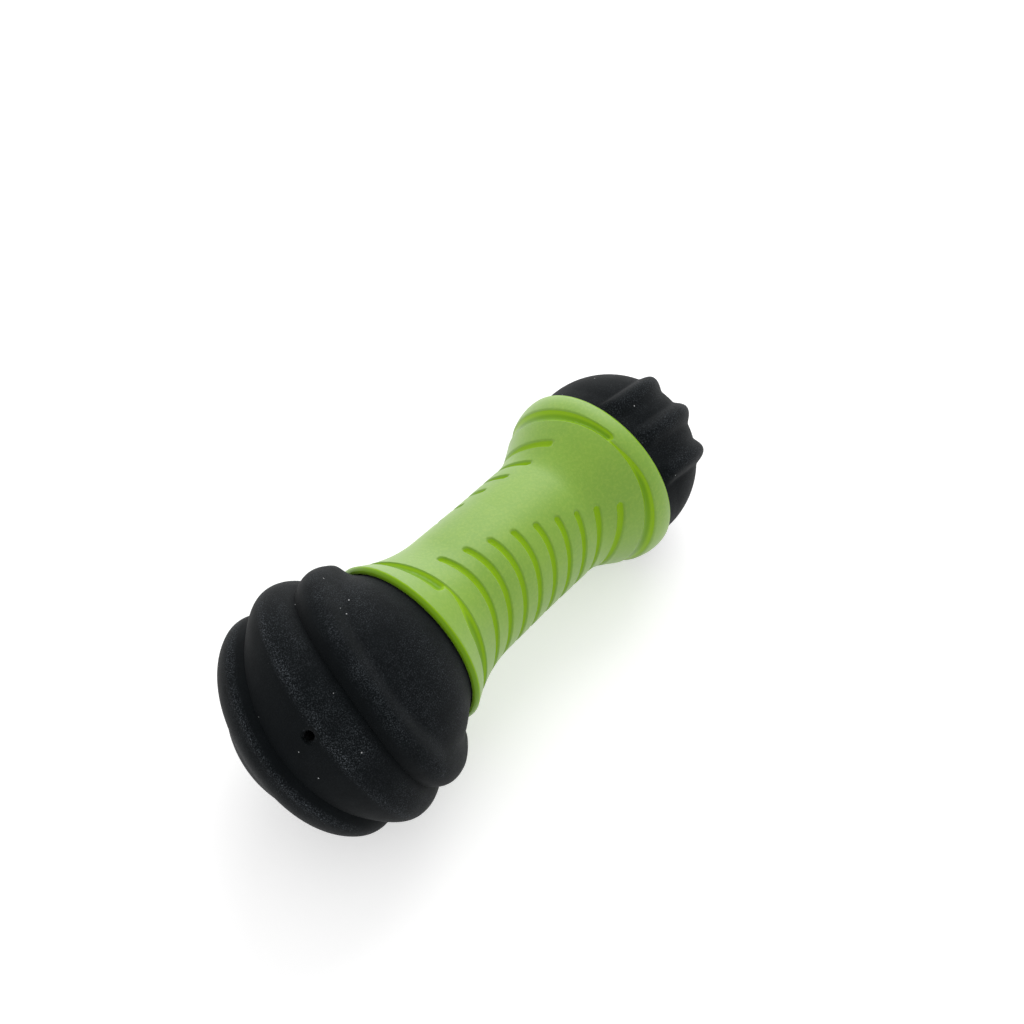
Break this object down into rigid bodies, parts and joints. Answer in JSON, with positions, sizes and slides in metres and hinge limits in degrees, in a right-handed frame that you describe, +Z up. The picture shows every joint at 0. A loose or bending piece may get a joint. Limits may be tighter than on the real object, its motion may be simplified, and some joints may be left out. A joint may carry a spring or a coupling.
{
  "type": "dog fetch stick",
  "caption": "Short throwing stick for a dog: a waisted, grooved soft grip with a large ribbed rubber ball at one end and a small ribbed rubber dome at the other.",
  "frame": {"origin": "bottom centre of the bounding box, on the table the stick lies on", "axes": "+X along the stick from the ball towards the dome, +Z up; the stick's own axis lies in a plane parallel to XZ, 0.2 mm from it, 3.8 degrees nose-down towards the dome"},
  "size_m": [0.174, 0.0714, 0.0712],
  "materials": {
    "green_grip": "satin yellow-green soft rubber",
    "black_rubber": "matte, dusty charcoal rubber",
    "pale_core": "plain moulded plastic, hidden"
  },
  "bodies": {
    "stick": {"grip_sleeve": "green_grip", "core_tube": "pale_core"},
    "ball": {"ball_head": "black_rubber"},
    "dome": {"dome_head": "black_rubber"}
  },
  "joints": [
    {"name": "ball_turn", "type": "hinge", "parent": "stick", "child": "ball", "pos_m": [-0.05322, 0.0002, 0.03538], "axis": [0.9978, 0, -0.0665], "continuous": true},
    {"name": "dome_turn", "type": "hinge", "parent": "stick", "child": "dome", "pos_m": [0.05943, 0.0002, 0.02788], "axis": [0.9978, 0, -0.0665], "continuous": true}
  ]
}
